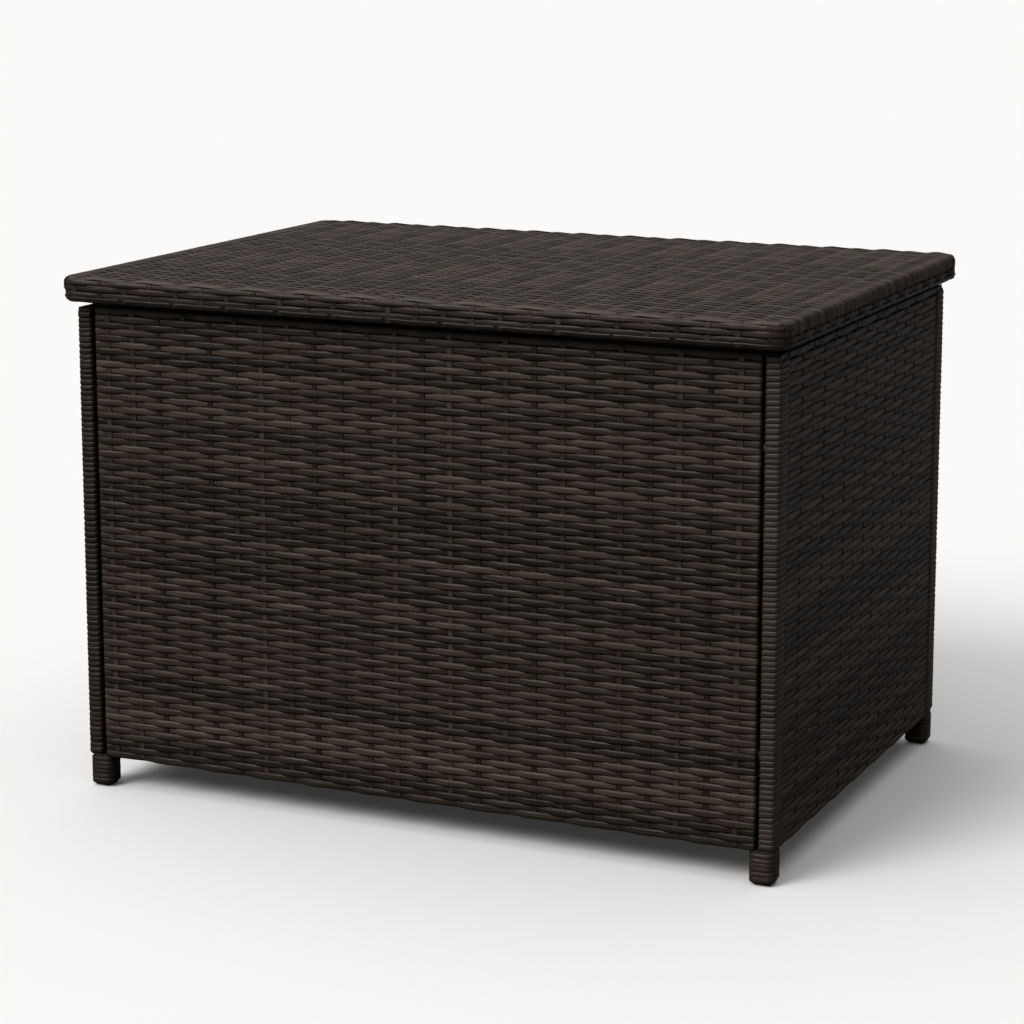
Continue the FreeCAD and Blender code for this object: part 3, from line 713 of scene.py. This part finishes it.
# %% [markdown]
# ## The lid's rim
# Rows go round the rim. The lowest two go all the way round and the two on the turned-under edge
# as well. The upper three are only on the front and the back, because on the sides the top's own
# rows come down there; they end just round the corner. A row on the rounded edge leans back, so
# the tree's `Tilt` turns the strand's section with it.


# %% Rim rows
def rim_gate(point):
    """Free along the straight edges, tight round the corners."""
    past_x = LID_HIGH.x - LID_CORNER - abs(point.x)
    past_y = LID_HIGH.y - LID_CORNER - abs(point.y)
    return ease(max(past_x, past_y), -12 * MM, 6 * MM)


def rim_beat(point):
    if abs(point.y) > LID_HIGH.y - LID_CORNER:
        return lid_beat(point)
    return (point.y - RIM_FIRST) / RIM_PITCH


def rim_loop(inset):
    x, y, radius = LID_HIGH.x - inset, LID_HIGH.y - inset, LID_CORNER - inset
    corners = [(0, y, 0), (-x, y, 0), (-x, -y, 0), (x, -y, 0), (x, y, 0), (0, y, 0)]
    return rounded_line(corners, [radius] * 4, ROW_STEP, 6)


def rim_side(inset, end):
    """A rim row along one long edge only, with ends that turn most of the way round the corners."""
    x, y, radius = LID_HIGH.x - inset, LID_HIGH.y - inset, LID_CORNER - inset
    back = y - radius - 4 * MM
    corners = [(-x, -back, 0), (-x, -y, 0), (x, -y, 0), (x, -back, 0)]
    line = rounded_line(corners, [radius] * 2, ROW_STEP, 6)
    if end < 0:
        return line
    return [Vector((-p.x, -p.y, p.z)) for p in line]


def rim_row(line, height, tilt, parity, seed, **sizes):
    guide = guide_object("rim_guide", line, rim_beat, rim_gate)
    chosen = {**FLAT_ROW, "lift": 1.3 * MM, **sizes}
    return strands(guide, first=height, tilt=tilt, beat_shift=float(parity), seed=seed, **chosen)


# Two rows lie on the rounded top edge and one on the lower edge, at these angles of lean.
TOP_LEANS, LOW_LEAN = (64.5, 13.6), -37.0
UNDER_INSETS = (9.5 * MM, 17.5 * MM)
rim = []
for number, degrees in enumerate(TOP_LEANS):
    tilt = math.radians(degrees)
    inset = SKIN_MIDDLE + TOP_BEND * (1 - math.cos(tilt))
    height = LID_MIDDLE - TOP_BEND + TOP_BEND * math.sin(tilt)
    for end in (-1, 1):
        rim.append(rim_row(rim_side(inset, end), height, tilt, 1 + number, 70 + number + end))
height = LID_HIGH.z - 9 * MM - 6 * MM
for end in (-1, 1):
    rim.append(rim_row(rim_side(SKIN_MIDDLE, end), height, 0.0, 1, 73 + end))
rim.append(rim_row(rim_loop(SKIN_MIDDLE), height - 8 * MM, 0.0, 0, 75))
tilt = math.radians(LOW_LEAN)
inset = SKIN_MIDDLE + LOW_BEND * (1 - math.cos(tilt))
low_edge = {"lift": 0.35 * MM, "half_width_over": 4.6 * MM, "half_width_under": 4.4 * MM}
rim.append(rim_row(rim_loop(inset), LID_LOW.z + 4.0 * MM, tilt, 1, 76, **low_edge))
for number, inset in enumerate(UNDER_INSETS):
    thin = {"half_thickness": 0.65 * MM, "lift": 0.7 * MM}
    down = math.radians(-90.0)
    rim.append(rim_row(rim_loop(inset), LID_UNDER, down, number, 77 + number, **thin))
piece("lid_rim_rows", rim, "lid")

# %% [markdown]
# ## The strand round each leg
# Each leg is wound with one long strand, turn on turn, and so is its foot. No hand winds it evenly,
# so the turns are drawn with an uneven rise. Short straps close the top of the leg under the last
# turns. The guide is a spiral round the leg's section, and the same strand tree follows it.


# %% Winding a leg and its foot
LEG_ROUND = 12 * MM
LEG_TURNS, LEG_UNEVEN, LEG_CORNER = 86, 0.16, 3.1 * MM
FOOT_TURNS, FOOT_UNEVEN, FOOT_CORNER = 6, 0.25, 7.9 * MM
WOUND_ON = 2.2 * MM
WIND = row_sizes(3.7, 3.7, 0.0, thick=1.05, flatness=3.5, wander=0.45 * MM)
CAP = row_sizes(3.6, 3.6, 0.0, wander=0.0)
FOOT_LOW, FOOT_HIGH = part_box("leg_wrap_front_right")
FOOT_W = FOOT_HIGH.x - FOOT_LOW.x
LEG_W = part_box("leg_front_right")[1].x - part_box("leg_front_right")[0].x + 2 * WOUND_ON
LEG_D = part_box("leg_front_right")[1].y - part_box("leg_front_right")[0].y + 2 * WOUND_ON
FOOT_TOP = PANEL_Z0
TIP_ROUND = 8.5 * MM


def wound_line(x_range, y_range, radius, heights, shape=None):
    """A spiral round a box with round corners; heights are where each turn starts."""
    x0, x1 = min(x_range), max(x_range)
    y0, y1 = min(y_range), max(y_range)
    xm = (x0 + x1) / 2
    corners = [(xm, y1, 0), (x0, y1, 0), (x0, y0, 0), (x1, y0, 0), (x1, y1, 0), (xm, y1, 0)]
    loop = rounded_line(corners, [radius] * 4, 12 * MM, 4)[:-1]
    points = []
    for start, end in zip(heights, heights[1:]):
        for k, p in enumerate(loop):
            point = Vector((p.x, p.y, start + (end - start) * k / len(loop)))
            points.append(shape(point) if shape else point)
    return points


def uneven_heights(low, high, turns, spread, seed):
    dice = random.Random(seed)
    steps = [1 + dice.uniform(-spread, spread) for _ in range(turns)]
    heights = [low]
    for step in steps:
        heights.append(heights[-1] + step * (high - low) / sum(steps))
    return heights


def wound_leg(side, end, seed):
    inset = 1.1 * MM
    outer_x, outer_y = side * FACE_X, end * FACE_Y
    x_range = (outer_x - side * inset, outer_x - side * (LEG_W - inset))
    y_range = (outer_y - end * inset, outer_y - end * (LEG_D - inset))
    bend_z = PANEL_Z1 - LEG_ROUND

    def round_top(point):
        rise = min(max(point.z - bend_z, 0.0), LEG_ROUND - inset)
        limit = FACE_X - LEG_ROUND + math.sqrt((LEG_ROUND - inset) ** 2 - rise * rise)
        return Vector((side * min(side * point.x, limit), point.y, point.z))

    low, high = FOOT_TOP + 3 * MM, PANEL_Z1 - 3.4 * MM
    heights = uneven_heights(low, high, LEG_TURNS, LEG_UNEVEN, seed)
    spiral = wound_line(x_range, y_range, LEG_CORNER, heights, round_top)
    turns = strands(guide_object("leg_guide", spiral), seed=seed, **WIND)

    middle_x = outer_x - side * FOOT_W / 2
    middle_y = outer_y - end * LEG_D / 2

    def round_tip(point):
        drop = min(max(TIP_ROUND - point.z, 0.0), TIP_ROUND - 2 * MM)
        pull = TIP_ROUND - math.sqrt(TIP_ROUND ** 2 - drop ** 2)
        arm = Vector((point.x - middle_x, point.y - middle_y))
        x = point.x - pull * arm.x / (FOOT_W / 2)
        return Vector((x, point.y - pull * arm.y / (LEG_D / 2), point.z))

    x_range = (outer_x - side * inset, outer_x - side * (FOOT_W - inset))
    low, high = 5.2 * MM, FOOT_TOP - 2.6 * MM
    heights = uneven_heights(low, high, FOOT_TURNS, FOOT_UNEVEN, seed + 7)
    spiral = wound_line(x_range, y_range, FOOT_CORNER, heights, round_tip)
    foot = strands(guide_object("foot_guide", spiral), seed=seed + 1, **WIND)

    first, last = sorted((outer_x - side * 1.6 * MM, outer_x - side * (LEG_W - 1.6 * MM)))
    low, high = PANEL_Z1 - 13 * MM, PANEL_Z1 - 2.0 * MM
    corners = [(first, 0, low), (first, 0, high), (last, 0, high), (last, 0, low)]
    radii = [9 * MM, 2.5 * MM] if side < 0 else [2.5 * MM, 9 * MM]
    line = rounded_line(corners, radii, 1.0)
    across_y = sorted((outer_y, outer_y - end * LEG_D))[0]
    caps = strands(
        guide_object("cap_guide", line), strands=4, pitch=LEG_D / 4, first=across_y + LEG_D / 8,
        stacking=ALONG_Y, seed=seed + 2, **CAP,
    )
    return [turns, foot, caps]


for side, side_name in ((-1, "left"), (1, "right")):
    for end, end_name in ((-1, "front"), (1, "rear")):
        meshes = wound_leg(side, end, 100 + 10 * side + end)
        place = f"{end_name}_{side_name}"
        piece(f"leg_strand_{place}", meshes, "box", f"leg_wrap_{place}")

# %% [markdown]
# ## The floor
# The floor is a coarser mat: straps nearly twice as wide as the rows, laid over its bars.

# %% Floor mat
FLOOR_MIDDLE = (FLOOR_LOW.z + FLOOR_HIGH.z) / 2
FLOOR_PITCH = 71 * MM
MAT_ROWS = 36
MAT_STAKES = 13
MAT_PITCH = 16 * MM
MAT = row_sizes(7.6, 7.2, 0.8, thick=0.6)
reach = FLOOR_HIGH.x - 1 * MM
line = rounded_line([(-reach, 0, FLOOR_MIDDLE), (reach, 0, FLOOR_MIDDLE)], [], 11.8 * MM)
guide = guide_object("mat_guide", line, lambda p: p.x / FLOOR_PITCH, lambda p: 1.0)
mat_rows = strands(
    guide, strands=MAT_ROWS, pitch=MAT_PITCH, first=-(MAT_ROWS - 1) / 2 * MAT_PITCH,
    stacking=ALONG_Y, seed=90, **MAT,
)
reach = FLOOR_HIGH.y - 1 * MM
line = rounded_line([(0, reach, FLOOR_MIDDLE), (0, -reach, FLOOR_MIDDLE)], [], 1.0)
mat_stakes = strands(
    guide_object("mat_stake_guide", line), strands=MAT_STAKES, pitch=FLOOR_PITCH,
    first=-(MAT_STAKES - 1) / 2 * FLOOR_PITCH,
    stacking=ALONG_X, seed=91, **{**STAKE, "half_thickness": 0.6 * MM},
)
piece("floor_mat", [mat_rows, mat_stakes], "box", "floor_weave")

# %% [markdown]
# ## Finishes of the frame and the hardware
# The frame's own nodes have the right shape already, so they only get a finish. Each finish is
# worked out in Object coordinates, in metres, because these parts have no seam to follow.


# %% Finishes
EVEN = (1.0, 1.0, 1.0)
DRAWN = (1.0, 1.0, 0.05)


def grain(wire, size, detail=3.0, stretch=EVEN):
    """Noise whose marks are about size metres across."""
    place = wire.node("ShaderNodeTexCoord", None, None, "Object")
    mapped = wire.node("ShaderNodeMapping", None, {"Vector": place, "Scale": stretch})
    return mapped.noise(detail, 1.0 / size)


def finish(
    name, dark, light, rough, rough_spread, grain_size, bump, metal=0.0, stretch=EVEN, coat=0.0
):
    """A finish between two colours, with grain that also changes its roughness and relief."""
    material, wire, shader = new_material(name)
    marks = grain(wire, grain_size, 4.0, stretch)
    slow = grain(wire, 0.06, 2.0)
    colour = ramp(wire, marks * 0.4 + slow * 0.6, [(0.35, dark), (0.65, light)])
    roughness = rough + (marks - 0.5) * rough_spread + (slow - 0.5) * rough_spread
    grained = {"Strength": bump, "Distance": 0.0003, "Height": marks}
    relief = wire.node("ShaderNodeBump", None, grained)
    join_up(wire, shader, {"Base Color": colour, "Roughness": roughness, "Normal": relief})
    shader.inputs["Metallic"].default_value = metal
    shader.inputs["Coat Weight"].default_value = coat
    shader.inputs["Coat Roughness"].default_value = 0.15
    return material


FINISHES = {
    "powder_coated_steel": finish(
        "powder_coat", (0.022, 0.018, 0.015), (0.032, 0.027, 0.023), 0.5, 0.15, 0.0009, 0.35
    ),
    "black_plastic": finish(
        "moulded_black", (0.014, 0.014, 0.014), (0.024, 0.023, 0.022), 0.48, 0.12, 0.0006, 0.3
    ),
    "black_rubber": finish(
        "rubber_pad", (0.02, 0.02, 0.02), (0.032, 0.031, 0.03), 0.75, 0.1, 0.0008, 0.4
    ),
    "zinc_steel": finish(
        "zinc_plate", (0.42, 0.42, 0.40), (0.62, 0.61, 0.58), 0.34, 0.2, 0.0025, 0.12, metal=1.0
    ),
    "polished_rod": finish(
        "polished_rod", (0.70, 0.70, 0.70), (0.82, 0.82, 0.81), 0.12, 0.08, 0.0006, 0.05,
        metal=1.0, stretch=DRAWN,
    ),
    "black_enamel": finish(
        "black_enamel", (0.010, 0.010, 0.010), (0.018, 0.018, 0.018), 0.3, 0.1, 0.004, 0.05,
        coat=0.6,
    ),
    "woven_plastic": STRAND,
}
for part in frame["record"]["subparts"]:
    node = frame["nodes"][part["node"]]
    node.data.materials.clear()
    node.data.materials.append(FINISHES[part["material_slot"]])

# %% [markdown]
# ## Floor, light and camera
# The box stands on pale paper. A soft light from the upper left and front draws the weave, and a
# much wider one from above fills the top. Dark weave on white paper is easily flooded by what the
# paper throws back, so the paper is white only where it is looked at, and answers every other ray
# as dark grey. The lens is long, and its small downward shift keeps the walls from leaning in.


# %% Studio
FLOOR_FAR = 60.0
FLOOR_NEAR = -12.0
FLOOR_HALF = 40.0
PAPER_SEEN, PAPER_BOUNCE = 0.91, 0.13
PAPER_GLOW = 0.03
PAPER_WARMTH = (1.0, 0.985, 0.97)
ROOM_COLOUR = (0.93, 0.92, 0.91, 1.0)
ROOM_STRENGTH = 0.13
KEY_DIRECTION, KEY_ENERGY, KEY_SPREAD = (0.45, 0.85, -0.80), 1.7, 30.0
TOP_DIRECTION, TOP_ENERGY, TOP_SPREAD = (0.25, 0.10, -1.0), 1.85, 100.0
CAMERA_PLACE = (1.45274, -3.18304, 1.09997)
CAMERA_LENS, CAMERA_SENSOR, CAMERA_SHIFT = 99.41, 36.0, -0.10
AZIMUTH, PITCH = math.radians(24.74), math.radians(10.35)


def studio_floor():
    """A pale floor that runs far back, so that the whole picture stands on it."""
    mesh = bpy.data.meshes.new("studio_floor")
    corners = [(-FLOOR_HALF, FLOOR_NEAR), (FLOOR_HALF, FLOOR_NEAR)]
    corners += [(FLOOR_HALF, FLOOR_FAR), (-FLOOR_HALF, FLOOR_FAR)]
    mesh.from_pydata([(x, y, 0.0) for x, y in corners], [], [(0, 1, 2, 3)])
    floor = bpy.data.objects.new("studio_floor", mesh)
    bpy.context.scene.collection.objects.link(floor)
    material, wire, shader = new_material("studio_paper")
    seen = wire.node("ShaderNodeLightPath", None, None, "Is Camera Ray")
    bounce = (PAPER_BOUNCE, PAPER_BOUNCE, PAPER_BOUNCE)
    paper = tuple(PAPER_SEEN * part for part in PAPER_WARMTH)
    colour = ramp(wire, seen, [(0.0, bounce), (1.0, paper)])
    glow = ramp(wire, seen, [(0.0, (0.0, 0.0, 0.0)), (1.0, PAPER_WARMTH)])
    join_up(wire, shader, {"Base Color": colour, "Emission Color": glow})
    shader.inputs["Emission Strength"].default_value = PAPER_GLOW
    shader.inputs["Roughness"].default_value = 0.9
    shader.inputs["Specular IOR Level"].default_value = 0.0
    mesh.materials.append(material)


def wide_sun(name, direction, energy, spread):
    """A light from far away, as wide in the sky as the spread."""
    data = bpy.data.lights.new(name, "SUN")
    data.energy = energy
    data.angle = math.radians(spread)
    made = bpy.data.objects.new(name, data)
    bpy.context.scene.collection.objects.link(made)
    made.rotation_mode = "QUATERNION"
    made.rotation_quaternion = Vector(direction).to_track_quat("-Z", "Y")


studio_floor()
wide_sun("key", KEY_DIRECTION, KEY_ENERGY, KEY_SPREAD)
wide_sun("top", TOP_DIRECTION, TOP_ENERGY, TOP_SPREAD)
world = bpy.data.worlds.new("room")
world.use_nodes = True
background = world.node_tree.nodes["Background"]
background.inputs["Color"].default_value = ROOM_COLOUR
background.inputs["Strength"].default_value = ROOM_STRENGTH
bpy.context.scene.world = world
bpy.context.scene.view_settings.view_transform = "Standard"

camera_data = bpy.data.cameras.new("camera")
camera_data.lens = CAMERA_LENS
camera_data.sensor_width = CAMERA_SENSOR
camera_data.shift_y = CAMERA_SHIFT
camera_data.clip_end = 100.0
camera = bpy.data.objects.new("camera", camera_data)
bpy.context.scene.collection.objects.link(camera)
backward = Vector((
    math.sin(AZIMUTH) * math.cos(PITCH), -math.cos(AZIMUTH) * math.cos(PITCH), math.sin(PITCH),
))
camera.location = CAMERA_PLACE
camera.rotation_mode = "QUATERNION"
camera.rotation_quaternion = (-backward).to_track_quat("-Z", "Y")
bpy.context.scene.camera = camera
print("camera", [round(c, 2) for c in camera.location], "m")
